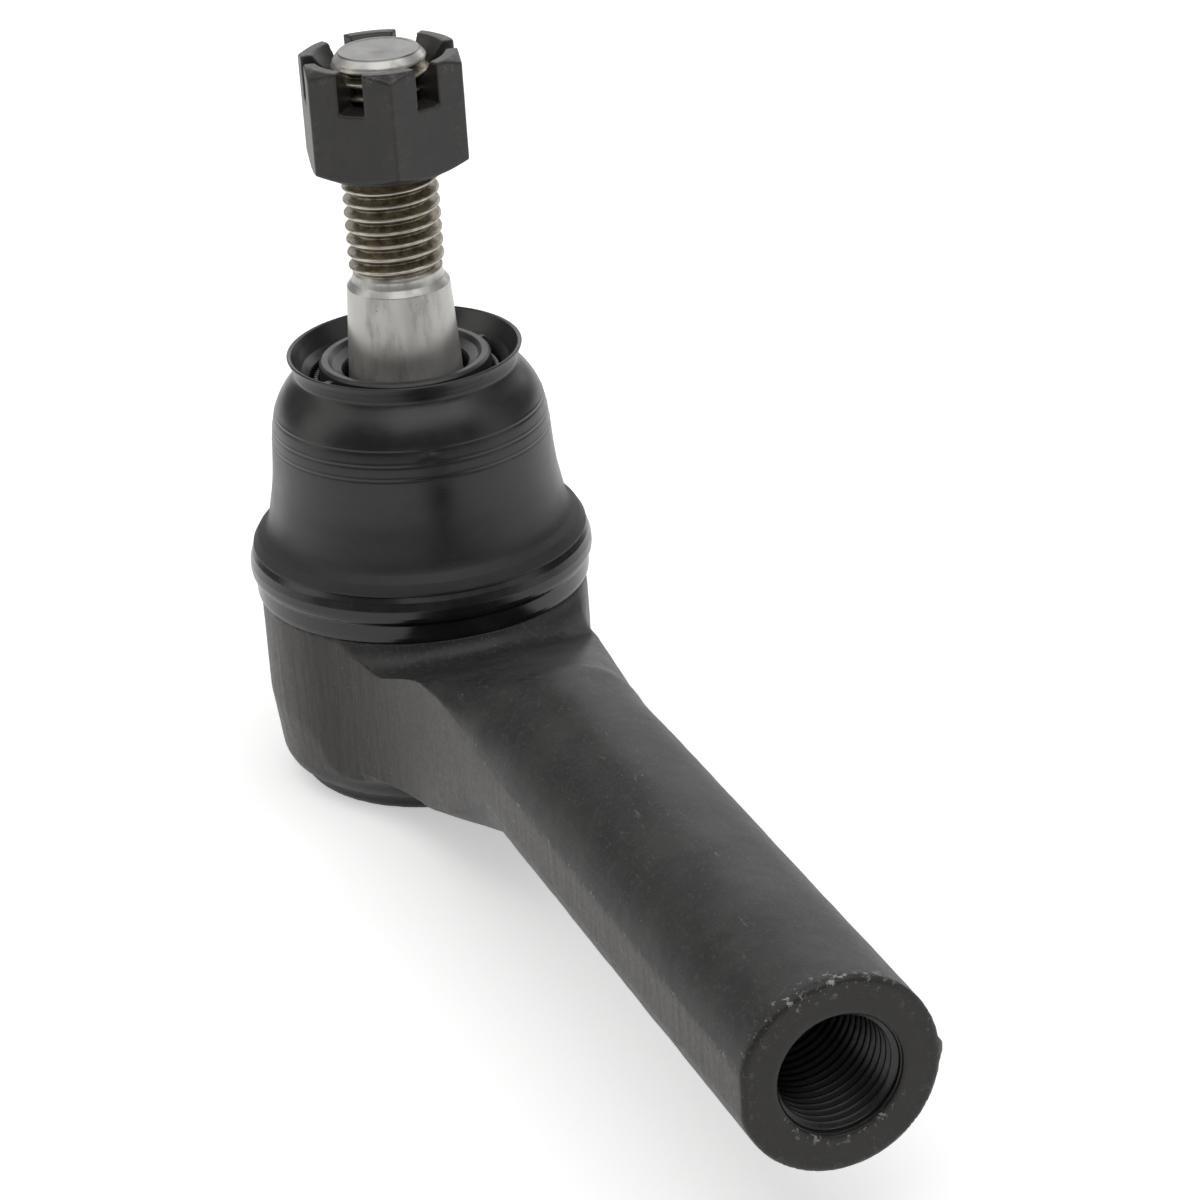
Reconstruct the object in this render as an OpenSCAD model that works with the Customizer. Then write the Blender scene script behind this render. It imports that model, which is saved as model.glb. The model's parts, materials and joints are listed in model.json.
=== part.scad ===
// Tie rod end: a forged socket on a threaded shank, with a tapered ball stud.
// Millimetres. The origin is the ball's centre, +Z runs along the stud,
// and +X runs along the shank towards its threaded mouth.

/* [Housing] */
// Radius of the socket barrel at its widest
barrel_r = 24.2; // [22:0.1:26]
// Height of the barrel's shoulder, where the boot's ring sits
shoulder_z = 11; // [9:0.5:12]
// Height of the barrel's lower rim
rim_z = -18; // [-20:0.5:-17.5]
// Radius of the shank
shank_r = 13.05; // [12:0.05:14]
// Height of the shank's axis above the ball's centre
shank_z = 7.3; // [4:0.1:8]
// Distance from the stud's axis to the shank's mouth
shank_end_x = 155; // [120:1:180]
// Distance from the stud's axis to where the neck meets the shank
neck_end_x = 60; // [55:1:75]
// Height of the neck's sloping top where it leaves the barrel
neck_top_z = 7.4; // [2:0.1:9]
// Half of the neck's width where it leaves the barrel
neck_half_w = 18; // [14:0.1:20]
// Height of the forging's trimmed strip along the shank
trim_h = 7; // [4:0.5:9]

/* [Shank thread, M16 x 1.5] */
// Radius of the threaded bore's wall
bore_r = 7.19; // [6.5:0.01:8.5]
// Depth of the full bore
bore_depth = 50; // [30:1:60]

/* [Ball stud] */
// Radius of the ball
ball_r = 12.7; // [12:0.1:13]
// Running clearance between the ball and its seats
ball_gap = 0.05; // [0.02:0.01:0.1]
// Radius of the neck above the ball
neck_r = 6.3; // [5.5:0.1:6.4]
// Height of the taper's thick end
taper_z0 = 31; // [28:0.5:34]
// Height of the taper's thin end
taper_z1 = 57.5; // [50:0.5:60]
// Radius of the taper's thin end
taper_r1 = 7.5; // [7.2:0.1:8]
// Radius of the stud's thread, M14 x 2
stud_r = 7; // [6.5:0.1:7.1]
// Height of the stud's free end
stud_top_z = 92.5; // [85:0.5:100]

/* [Castle nut] */
// Width across the nut's flats
nut_flats = 22; // [21:0.5:24]
// Total height of the nut with its towers
nut_h = 17; // [14:0.5:18]
// Height of the nut's lower face
nut_z = 75; // [72:0.5:75.5]
// Width of a slot
slot_w = 3.8; // [3:0.1:4.5]
// Depth of a slot
slot_d = 6; // [4:0.5:7]

/* [Dust boot] */
// Height of the lip's rim
lip_z = 47.5; // [46.5:0.5:48]
// Radius of the lip's rim
lip_r = 17.2; // [16.8:0.1:17.6]

/* [Hidden] */
$fn = 96;
eps = 0.01;

// Neck
neck_back_x = 10;
neck_base_z = rim_z + 8.2;

// Inside of the socket
cavity_r = 15.5;
cavity_top_z = 3.5;
seat_top_z = 7;
mouth_z = 8.5;
mouth_r = 11.4;
collar_r = 19.4;
collar_top_z = 16.5;
collar_mouth_r = 15.4;

// Cover plate and its crimped lip
cover_r = 17.5;
cover_t = 1.6;
crimp_t = 0.7;
crimp_r = 16;
cover_z = rim_z + crimp_t;
cover_top_z = cover_z + cover_t;

// Lower seat and disc spring
lower_seat_z = -14.3;
spring_t = 0.6;
spring_r = 12.5;
spring_hole_r = 5;

// Stud
taper_slope = 1 / 16;
taper_r0 = taper_r1 + (taper_z1 - taper_z0) * taper_slope;
thread_z0 = taper_z1 + 2.5;
relief_r = 6.1;
cotter_r = 1.6;
cotter_z = nut_z + nut_h - slot_d / 2 - 0.5;
nut_gap = 0.05;
nut_corner_r = nut_flats / 2 / cos(30);
nut_boss_h = 0.8;
nut_cone_h = 3.5;
nut_cone_r = 9.6;
nut_turn = -11;

// Boot ring, from its foot on the barrel's shoulder up
ring_foot_z = shoulder_z + 0.1;
ring_in_r = 22.3;
ring_band_r = 25.4;
ring_skirt_r = 24.75;

// Bush in the boot's lip
bush_r = 12.6;
bush_hole_r = 9;
bush_z0 = 41;
bush_z1 = 46.3;

module ring_section(points) {
  rotate_extrude() polygon(points);
}

// ---------------------------------------------------------------- housing

module barrel() {
  ring_section([[0, rim_z], [19.6, rim_z], [20.4, rim_z + 0.8], [22.4, rim_z + 2.8], [23, rim_z + 4.5],
                [23.4, rim_z + 7.5], [barrel_r, -4], [barrel_r, shoulder_z], [0, shoulder_z]]);
}

module collar() {
  translate([0, 0, shoulder_z - eps]) cylinder(h = collar_top_z - shoulder_z + eps, r = collar_r);
}

// A block that leaves the barrel's front and turns round as it rises into the shank
module neck() {
  disc_t = 1;
  hull() {
    translate([neck_back_x, -neck_half_w, neck_base_z])
      cube([barrel_r - neck_back_x, 2 * neck_half_w, neck_top_z - neck_base_z]);
    translate([neck_end_x - disc_t, 0, shank_z]) rotate([0, 90, 0])
      cylinder(h = disc_t, r = shank_r, $fn = 64);
  }
}

module shank() {
  chamfer = 0.6;
  straight = shank_end_x - neck_end_x - chamfer;
  translate([neck_end_x - eps, 0, shank_z]) rotate([0, 90, 0]) {
    cylinder(h = straight, r = shank_r);
    translate([0, 0, straight - eps])
      cylinder(h = chamfer + 2 * eps, r1 = shank_r, r2 = shank_r - chamfer);
  }
}

// What the trimming tool shears off one side, from the barrel to the shank's mouth
module trim_cut() {
  flat_y = -sqrt(pow(shank_r, 2) - pow(trim_h / 2, 2));
  start_x = 14.3;
  start_y = -sqrt(pow(barrel_r, 2) - pow(start_x, 2));
  bend = [27, -14.7];
  far_y = -30;
  end_x = shank_end_x + 1;
  translate([0, 0, rim_z - 1]) linear_extrude(shank_z + trim_h / 2 + 1 - rim_z + 1)
    polygon([[start_x, start_y], bend, [neck_end_x, flat_y], [end_x, flat_y], [end_x, far_y], [start_x, far_y]]);
}

// The thin line of flash left along the other side
module flash_rib() {
  root_y = shank_r - 0.6;
  tip_y = shank_r + 0.7;
  root_h = 5.2;
  tip_h = 1.4;
  overlap = 2;
  end_gap = 0.6;
  translate([neck_end_x - overlap, 0, shank_z]) rotate([90, 0, 90])
    linear_extrude(shank_end_x - neck_end_x + overlap - end_gap)
      polygon([[root_y, -root_h / 2], [tip_y, -tip_h / 2], [tip_y, tip_h / 2], [root_y, root_h / 2]]);
}

module socket_cavity() {
  ring_section([[0, rim_z - 1], [crimp_r, rim_z - 1], [crimp_r, cover_z], [cover_r, cover_z],
                [cover_r, cover_top_z], [cavity_r, cover_top_z], [cavity_r, cavity_top_z],
                [mouth_r, mouth_z], [collar_mouth_r, collar_top_z], [collar_mouth_r, collar_top_z + 1],
                [0, collar_top_z + 1]]);
}

module shank_bore() {
  chamfer = 0.6;
  drill_tip = 4;
  translate([shank_end_x, 0, shank_z]) rotate([0, -90, 0]) {
    translate([0, 0, -1]) cylinder(h = bore_depth + 1, r = bore_r);
    translate([0, 0, -eps]) cylinder(h = chamfer, r1 = bore_r + chamfer, r2 = bore_r);
    translate([0, 0, bore_depth - eps]) cylinder(h = drill_tip, r1 = bore_r, r2 = 0.2);
  }
}

module housing() {
  color([0.19, 0.19, 0.19]) difference() {
    union() {
      barrel();
      collar();
      neck();
      shank();
      flash_rib();
    }
    socket_cavity();
    shank_bore();
    trim_cut();
  }
}

// ------------------------------------------------------- inside the socket

module upper_seat() {
  gap = 0.05;
  color([0.85, 0.84, 0.78]) difference() {
    ring_section([[8, 0.3], [cavity_r - gap, 0.3], [cavity_r - gap, cavity_top_z],
                  [cavity_r - gap - 2.7, seat_top_z - 0.3], [8, seat_top_z - 0.3]]);
    sphere(r = ball_r + ball_gap);
  }
}

module lower_seat() {
  gap = 0.05;
  color([0.85, 0.84, 0.78]) difference() {
    ring_section([[2.5, lower_seat_z], [12.5, lower_seat_z], [cavity_r - gap, -9],
                  [cavity_r - gap, -0.3], [2.5, -0.3]]);
    sphere(r = ball_r + ball_gap);
  }
}

module preload_spring() {
  color([0.45, 0.46, 0.48])
    ring_section([[spring_hole_r, lower_seat_z - spring_t], [spring_r, cover_top_z],
                  [spring_r, cover_top_z + spring_t], [spring_hole_r, lower_seat_z]]);
}

module cover_plate() {
  color([0.16, 0.16, 0.16]) translate([0, 0, cover_z])
    cylinder(h = cover_t, r = cover_r - 0.03);
}

// --------------------------------------------------------------- ball stud

module stud_body() {
  ring_section([[0, 0], [neck_r, 0], [neck_r, 20], [7.4, 23],
                [taper_r0, taper_z0 - 2], [taper_r0, taper_z0], [taper_r1, taper_z1],
                [taper_r1 - 0.6, taper_z1 + 0.9], [relief_r, taper_z1 + 1.4], [relief_r, thread_z0 - 0.9],
                [stud_r, thread_z0], [stud_r, stud_top_z - 1], [stud_r - 0.7, stud_top_z], [0, stud_top_z]]);
}

// The ball, with the small flat underneath that its forging die leaves
module ball() {
  flat_z = -ball_r + 0.9;
  intersection() {
    sphere(r = ball_r);
    translate([0, 0, flat_z]) cylinder(h = 2 * ball_r, r = ball_r + 1);
  }
}

module ball_stud() {
  color([0.72, 0.71, 0.69]) difference() {
    union() {
      ball();
      stud_body();
    }
    translate([0, 0, cotter_z]) rotate([0, 0, nut_turn]) rotate([90, 0, 0])
      cylinder(h = 4 * stud_r, r = cotter_r, center = true);
  }
}

// -------------------------------------------------------------- castle nut

module nut_blank() {
  top_r = nut_flats / 2 + 0.1;
  corner = nut_corner_r + 0.1;
  rotate([0, 0, nut_turn]) intersection() {
    cylinder(h = nut_h, r = nut_corner_r, $fn = 6);
    ring_section([[0, 0], [nut_flats / 2 - 1.6, 0], [nut_flats / 2 - 1.6, nut_boss_h],
                  [nut_flats / 2 - 0.2, nut_boss_h], [corner, nut_boss_h + 1.1], [corner, nut_h - 1.1],
                  [top_r, nut_h], [0, nut_h]]);
  }
}

module nut_slots() {
  for (turn = [0 : 60 : 120])
    rotate([0, 0, nut_turn + turn + 30])
      translate([-nut_flats, -slot_w / 2, nut_h - slot_d]) cube([2 * nut_flats, slot_w, slot_d + 1]);
}

module castle_nut() {
  color([0.22, 0.21, 0.20]) translate([0, 0, nut_z]) difference() {
    nut_blank();
    nut_slots();
    translate([0, 0, -1]) cylinder(h = nut_h + 2, r = stud_r + nut_gap);
    translate([0, 0, nut_h - nut_cone_h])
      cylinder(h = nut_cone_h + eps, r1 = stud_r + nut_gap, r2 = nut_cone_r);
  }
}

// --------------------------------------------------------------- dust boot

module dust_boot() {
  in_r = collar_r + 0.1;
  foot_z = shoulder_z + 0.3;
  color([0.12, 0.12, 0.12]) ring_section([
    // outside, from the clamped bead up to the lip
    [in_r, foot_z], [ring_in_r - 0.1, foot_z], [ring_in_r - 0.1, 21], [21.45, 25.5], [20.7, 30], [20.6, 33.5],
    [20.2, 37], [19.2, 40], [18, 42.5], [16.4, 44.6], [16.4, 45.2], [lip_r, lip_z],
    // inside, from the lip down to the bead
    [lip_r - 0.9, lip_z], [14.6, 44.4], [14.1, 42.4], [bush_r + 0.3, 42.2], [bush_r + 0.3, 40.4],
    [15.5, 40.4], [17, 39.6], [18.4, 37], [19, 33], [19.2, 30], [19.8, 26], [20.3, 21], [20.3, 17],
    [in_r, 16.8]]);
}

module boot_ring() {
  color([0.10, 0.10, 0.11]) ring_section([
    [ring_in_r, ring_foot_z], [ring_skirt_r - 0.1, ring_foot_z], [ring_skirt_r, 13.6], [ring_band_r, 14.2],
    [ring_band_r, 16.6], [24.9, 18], [24.2, 18.8], [23.2, 19.7], [ring_in_r, 19.9]]);
}

module boot_bush() {
  color([0.25, 0.26, 0.27]) ring_section([
    [bush_hole_r, bush_z0], [bush_r, bush_z0], [bush_r, bush_z1 - 0.5], [bush_r - 0.5, bush_z1],
    [bush_r - 1.6, bush_z1], [bush_r - 2.4, bush_z1 - 0.7], [bush_hole_r, bush_z1 - 1.6]]);
}

module garter_spring() {
  color([0.35, 0.35, 0.36]) translate([0, 0, 43.1])
    rotate_extrude() translate([bush_r + 0.65, 0]) circle(r = 0.6, $fn = 32);
}

housing();
ball_stud();
upper_seat();
lower_seat();
preload_spring();
cover_plate();
dust_boot();
boot_ring();
boot_bush();
garter_spring();
castle_nut();
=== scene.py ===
import json
import math

import bmesh
import bpy
import numpy as np
from mathutils import Matrix, Vector, noise


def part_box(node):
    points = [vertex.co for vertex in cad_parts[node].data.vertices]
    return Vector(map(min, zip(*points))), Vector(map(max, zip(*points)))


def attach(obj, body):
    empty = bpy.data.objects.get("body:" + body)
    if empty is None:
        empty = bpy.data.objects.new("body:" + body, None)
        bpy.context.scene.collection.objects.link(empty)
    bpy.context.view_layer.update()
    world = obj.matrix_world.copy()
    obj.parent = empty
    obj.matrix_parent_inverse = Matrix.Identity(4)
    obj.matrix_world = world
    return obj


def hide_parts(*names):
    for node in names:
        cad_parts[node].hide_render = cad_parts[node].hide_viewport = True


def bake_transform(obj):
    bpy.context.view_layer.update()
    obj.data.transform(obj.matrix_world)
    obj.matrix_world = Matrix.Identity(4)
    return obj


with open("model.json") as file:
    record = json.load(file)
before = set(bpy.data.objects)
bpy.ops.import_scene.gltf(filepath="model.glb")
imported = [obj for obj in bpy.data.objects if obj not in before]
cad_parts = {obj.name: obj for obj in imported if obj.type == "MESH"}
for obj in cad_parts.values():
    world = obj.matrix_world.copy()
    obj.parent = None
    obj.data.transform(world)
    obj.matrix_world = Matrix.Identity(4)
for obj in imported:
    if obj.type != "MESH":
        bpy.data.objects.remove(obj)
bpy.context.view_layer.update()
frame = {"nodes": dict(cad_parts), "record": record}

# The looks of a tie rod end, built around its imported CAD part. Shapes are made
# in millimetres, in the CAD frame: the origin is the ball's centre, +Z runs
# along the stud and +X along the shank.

MM = 0.001
TAU = 2 * math.pi

# ------------------------------------------------------------------ CAD sizes


def span(node):
    """The lowest and highest corners of a CAD node, in millimetres."""
    low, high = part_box(node)
    return np.array(low) / MM, np.array(high) / MM


MOUNTS = {mount["name"]: mount for mount in frame["record"]["mounts"]}
HOUSING_LOW, HOUSING_HIGH = span("housing")
STUD_LOW, STUD_HIGH = span("ball_stud")
NUT_LOW, NUT_HIGH = span("castle_nut")
RING_LOW, RING_HIGH = span("boot_ring")
BOOT_LOW, BOOT_HIGH = span("dust_boot")
BUSH_LOW, BUSH_HIGH = span("boot_bush")
GARTER_LOW, GARTER_HIGH = span("garter_spring")
COVER_LOW, COVER_HIGH = span("cover_plate")

RIM_Z = HOUSING_LOW[2]
BARREL_R = -HOUSING_LOW[0]
SHANK_END = HOUSING_HIGH[0]
SHANK_Z = MOUNTS["rod_thread"]["pos_m"][2] / MM
SHANK_R = HOUSING_HIGH[2] - SHANK_Z
BORE_MINOR = MOUNTS["rod_thread"]["dims"]["r_mm"]
TAPER_TOP = MOUNTS["stud_taper"]["pos_m"][2] / MM
STUD_TOP = STUD_HIGH[2]

# ------------------------------------------------------------- mesh functions


def tidy_mesh(mesh):
    """Joins vertices that meet, drops faces of no area and turns all normals out."""
    work = bmesh.new()
    work.from_mesh(mesh)
    bmesh.ops.remove_doubles(work, verts=work.verts, dist=0.002 * MM)
    bmesh.ops.dissolve_degenerate(work, edges=work.edges, dist=0.002 * MM)
    bmesh.ops.recalc_face_normals(work, faces=work.faces)
    for face in work.faces:
        face.smooth = True
    work.to_mesh(mesh)
    work.free()


def new_object(name, shells):
    """An object of one or more shells, each (vertices in mm, faces)."""
    points = []
    faces = []
    for shell_points, shell_faces in shells:
        start = len(points)
        points.extend((np.asarray(shell_points) * MM).tolist())
        faces.extend([[start + i for i in face] for face in shell_faces])
    mesh = bpy.data.meshes.new(name)
    mesh.from_pydata(points, [], faces)
    tidy_mesh(mesh)
    item = bpy.data.objects.new(name, mesh)
    bpy.context.collection.objects.link(item)
    return item


def finish_piece(item, body, slot, material, *nodes):
    """Gives a piece its material, parents it to its CAD body and hides the CAD nodes it stands for."""
    item.data.materials.clear()
    item.data.materials.append(material)
    if nodes:
        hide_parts(*nodes)
    if body:
        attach(item, body)


def level_flats(item):
    """Keeps the shading of flat faces flat beside their rounded edges."""
    item.data.set_sharp_from_angle(angle=math.radians(50))
    item.modifiers.new("normals", "WEIGHTED_NORMAL").keep_sharp = True


def apply_modifiers(item):
    """Swaps an object's mesh for the one that its modifiers make of it."""
    graph = bpy.context.evaluated_depsgraph_get()
    old = item.data
    item.data = bpy.data.meshes.new_from_object(item.evaluated_get(graph))
    item.modifiers.clear()
    bpy.data.meshes.remove(old)


def rounded(outline, steps=4):
    """The (r, z) outline with a curve at each point that has a third value, its radius."""
    result = []
    for index, point in enumerate(outline):
        here = np.array(point[:2], float)
        radius = point[2] if len(point) > 2 else 0
        if radius <= 0 or index in (0, len(outline) - 1):
            result.append(tuple(here))
            continue
        back = np.array(outline[index - 1][:2], float) - here
        ahead = np.array(outline[index + 1][:2], float) - here
        back_len, ahead_len = np.linalg.norm(back), np.linalg.norm(ahead)
        back, ahead = back / back_len, ahead / ahead_len
        half = math.acos(np.clip(np.dot(back, ahead), -1, 1)) / 2
        reach = min(radius / max(math.tan(half), 1e-3), 0.48 * back_len, 0.48 * ahead_len)
        for step in range(steps + 1):
            t = step / steps
            p = here + back * reach * (1 - t) ** 2 + ahead * reach * t ** 2
            result.append(tuple(p))
    return result


def lathe(outline, segments=128):
    """A shell from an (r, z) outline turned about Z."""
    outline = np.array(outline, float)
    angles = np.arange(segments) * TAU / segments
    points = np.empty((len(outline), segments, 3))
    points[:, :, 0] = outline[:, None, 0] * np.cos(angles)
    points[:, :, 1] = outline[:, None, 0] * np.sin(angles)
    points[:, :, 2] = outline[:, None, 1]
    faces = []
    for row in range(len(outline) - 1):
        for i in range(segments):
            j = (i + 1) % segments
            a = row * segments
            b = a + segments
            faces.append((a + i, a + j, b + j, b + i))
    return points.reshape(-1, 3), faces


# One pitch of thread from crest to crest: how far along it, and how high
THREAD_FORM = ((0, 1), (0.07, 0.98), (0.13, 0.86), (0.25, 0.5), (0.38, 0.12), (0.45, 0.02), (0.5, 0),
               (0.55, 0.02), (0.62, 0.12), (0.75, 0.5), (0.87, 0.86), (0.93, 0.98))
FORM_AT = np.array([step[0] for step in THREAD_FORM] + [1])
FORM_HEIGHT = np.array([step[1] for step in THREAD_FORM] + [1])


def smoothstep(value, low, high):
    """0 below low, 1 above high and smooth between."""
    t = np.clip((value - low) / (high - low), 0, 1)
    return t * t * (3 - 2 * t)


def falling(value, low, high):
    """1 below low, 0 above high and smooth between."""
    return smoothstep(-value, -high, -low)


def thread_tube(z0, z1, pitch, minor, major, r0, r1, fade0, fade1, segments=128):
    """A right-handed thread from z0 to z1 that fades from radius r0 and to radius r1."""
    turns = math.ceil((z1 - z0) / pitch) + 2
    angles = np.arange(segments + 1) / segments
    rows = np.concatenate([FORM_AT[:-1] + turn for turn in range(turns)])
    z = np.clip(z0 + pitch * (rows[:, None] + angles[None, :] - 1), z0, z1)
    height = np.interp(np.mod(rows, 1), FORM_AT, FORM_HEIGHT)[:, None] * np.ones_like(z)
    radius = minor + (major - minor) * height
    radius = r0 + (radius - r0) * smoothstep(z, z0, z0 + fade0)
    radius = r1 + (radius - r1) * (1 - smoothstep(z, z1 - fade1, z1))
    turn = angles[None, :] * TAU
    points = np.stack([radius * np.cos(turn), radius * np.sin(turn), z], axis=-1)
    width = segments + 1
    faces = []
    for row in range(len(rows) - 1):
        live = np.abs(z[row + 1] - z[row]) > 1e-9
        for i in range(segments):
            if live[i] or live[i + 1]:
                a = row * width + i
                faces.append((a, a + 1, a + width + 1, a + width))
    return points.reshape(-1, 3), faces


def along_x(shell, z):
    """Turns a shell made about Z to lie about the line along X at that height."""
    points, faces = shell
    points = np.asarray(points)
    turned = np.stack([points[:, 2], points[:, 0], points[:, 1] + z], axis=-1)
    return turned, faces


def remeshed(node, name, voxel):
    """A copy of a CAD node's mesh in even quads of the given size."""
    item = bpy.data.objects.new(name, frame["nodes"][node].data.copy())
    bpy.context.collection.objects.link(item)
    tidy_mesh(item.data)
    modifier = item.modifiers.new("even", "REMESH")
    modifier.mode = "VOXEL"
    modifier.voxel_size = voxel * MM
    modifier.use_smooth_shade = True
    apply_modifiers(item)
    return item


def read_points(item):
    """An object's vertices in millimetres, one row each."""
    points = np.empty(len(item.data.vertices) * 3)
    item.data.vertices.foreach_get("co", points)
    return points.reshape(-1, 3) / MM


def write_points(item, points):
    """Puts an object's vertices at those places, in millimetres."""
    item.data.vertices.foreach_set("co", (points * MM).ravel())
    item.data.update()


def read_normals(item):
    """An object's vertex normals, one row each."""
    normals = np.empty(len(item.data.vertices) * 3)
    item.data.vertices.foreach_get("normal", normals)
    return normals.reshape(-1, 3)


def project(points, distance, steps=8, reach=0.6):
    """Moves points onto the surface where a distance function is 0."""
    probe = 0.01
    for _ in range(steps):
        here = distance(points)
        slope = np.empty_like(points)
        for axis in range(3):
            moved = points.copy()
            moved[:, axis] += probe
            slope[:, axis] = (distance(moved) - here) / probe
        size = np.maximum((slope ** 2).sum(axis=1), 0.05)
        move = -slope * (here / size)[:, None]
        length = np.maximum(np.linalg.norm(move, axis=1), 1e-9)
        points = points + move * np.minimum(1, reach / length)[:, None]
    return points


def soften(item, rounds, where=None):
    """Rounds the edges of an even mesh, everywhere or by the weight given for each vertex."""
    modifier = item.modifiers.new("soften", "SMOOTH")
    modifier.iterations = rounds
    modifier.factor = 0.5
    if where is not None:
        group = item.vertex_groups.new(name="soften")
        for index in np.flatnonzero(where > 0):
            group.add([int(index)], float(where[index]), "REPLACE")
        modifier.vertex_group = group.name
    apply_modifiers(item)


def noise_at(points, size, seed):
    """Smooth noise about 0 whose features are that many mm across."""
    shift = Vector((seed * 13.1, seed * 7.7, seed * 3.3))
    scaled = points / size
    return np.array([noise.noise(Vector(p) + shift) for p in scaled])


def set_mask(item, name, values):
    """Stores one value for each vertex, which a material reads by that name."""
    layer = item.data.attributes.new(name, "FLOAT", "POINT")
    layer.data.foreach_set("value", np.asarray(values, np.float32))


# ----------------------------------------------------------- distance shapes


def outline_distance(r, z, outline):
    """Signed distance from a closed (r, z) outline, below 0 inside."""
    corners = np.array(outline, float)
    nearest = np.full(r.shape, 1e9)
    inside = np.zeros(r.shape, bool)
    for (ar, az), (br, bz) in zip(corners, np.roll(corners, -1, axis=0)):
        edge_r, edge_z = br - ar, bz - az
        from_r, from_z = r - ar, z - az
        t = np.clip((from_r * edge_r + from_z * edge_z) / (edge_r ** 2 + edge_z ** 2), 0, 1)
        nearest = np.minimum(nearest, (from_r - t * edge_r) ** 2 + (from_z - t * edge_z) ** 2)
        if edge_z != 0:
            crosses = (az > z) != (bz > z)
            inside ^= crosses & (r < ar + from_z * edge_r / edge_z)
    return np.where(inside, -1, 1) * np.sqrt(nearest)


def smooth_join(a, b, width):
    """The union of two shapes with a fillet about that wide."""
    t = np.clip(0.5 + 0.5 * (b - a) / width, 0, 1)
    return b + (a - b) * t - width * t * (1 - t)


# ------------------------------------------------------------------ materials


class Paint:
    """A material and short calls that add nodes to it. Its coordinates are millimetres."""

    def __init__(self, name):
        self.material = bpy.data.materials.new(name)
        self.material.use_nodes = True
        self.tree = self.material.node_tree
        self.shader = self.tree.nodes["Principled BSDF"]
        coordinates = self.tree.nodes.new("ShaderNodeTexCoord")
        self.place = self.vector("SCALE", coordinates.outputs["Object"], scale=1 / MM)
        split = self.node("ShaderNodeSeparateXYZ", {"Vector": self.place})
        self.z = split.outputs["Z"]
        self.radius = self.vector("LENGTH", self.stretch(1, 1, 0), output="Value")
        self.normal = None

    def node(self, kind, inputs, **settings):
        """Adds a node, sets it up, and links or sets each of its inputs."""
        made = self.tree.nodes.new(kind)
        for key, value in settings.items():
            setattr(made, key, value)
        for key, value in inputs.items():
            if isinstance(value, bpy.types.NodeSocket):
                self.tree.links.new(value, made.inputs[key])
            else:
                made.inputs[key].default_value = value
        return made

    def vector(self, operation, a, b=None, scale=None, output="Vector"):
        """A vector operation's result."""
        inputs = {0: a}
        if b is not None:
            inputs[1] = b
        if scale is not None:
            inputs["Scale"] = scale
        return self.node("ShaderNodeVectorMath", inputs, operation=operation).outputs[output]

    def stretch(self, x, y, z):
        """The place multiplied along each axis, so that noise read there grows longer where it is below 1."""
        return self.vector("MULTIPLY", self.place, (x, y, z))

    def math(self, operation, a, b):
        """A number operation's result."""
        return self.node("ShaderNodeMath", {0: a, 1: b}, operation=operation).outputs[0]

    def noise(self, size, detail=3.0, roughness=0.55, place=None, distortion=0.0):
        """Noise whose features are that many mm across."""
        inputs = {"Vector": place or self.place, "Scale": 1 / size, "Detail": detail,
                  "Roughness": roughness, "Distortion": distortion}
        return self.node("ShaderNodeTexNoise", inputs).outputs["Fac"]

    def step(self, value, low, high):
        """0 below low, 1 above high and smooth between; the other way round if low is above high."""
        inputs = {"Value": value, "From Min": low, "From Max": high}
        return self.node("ShaderNodeMapRange", inputs, interpolation_type="SMOOTHSTEP").outputs[0]

    def between(self, value, low, high, to_low, to_high):
        """Maps low to to_low and high to to_high, straight between and held beyond."""
        inputs = {"Value": value, "From Min": low, "From Max": high, "To Min": to_low, "To Max": to_high}
        return self.node("ShaderNodeMapRange", inputs).outputs[0]

    def mix(self, amount, a, b):
        """The color a where amount is 0 and b where it is 1."""
        made = self.node("ShaderNodeMix", {0: amount}, data_type="RGBA")
        for socket, value in ((made.inputs[6], a), (made.inputs[7], b)):
            if isinstance(value, bpy.types.NodeSocket):
                self.tree.links.new(value, socket)
            else:
                socket.default_value = (*value, 1)
        return made.outputs[2]

    def mask(self, name):
        """The value that set_mask stored under that name."""
        return self.node("ShaderNodeAttribute", {}, attribute_name=name).outputs["Fac"]

    def bump(self, height, depth, strength):
        """Adds relief, depth mm high where height goes from 0 to 1, weakened by its strength."""
        inputs = {"Height": height, "Distance": depth * MM, "Strength": strength}
        if self.normal is not None:
            inputs["Normal"] = self.normal
        self.normal = self.node("ShaderNodeBump", inputs).outputs["Normal"]

    def done(self, color, roughness, metallic=0.0, specular=0.5):
        """Links or sets the surface's values and returns the material."""
        for key, value in (("Base Color", color), ("Roughness", roughness), ("Metallic", metallic)):
            socket = self.shader.inputs[key]
            if isinstance(value, bpy.types.NodeSocket):
                self.tree.links.new(value, socket)
            elif key == "Base Color":
                socket.default_value = (*value, 1)
            else:
                socket.default_value = value
        self.shader.inputs["Specular IOR Level"].default_value = specular
        if self.normal is not None:
            self.tree.links.new(self.normal, self.shader.inputs["Normal"])
        return self.material


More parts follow.
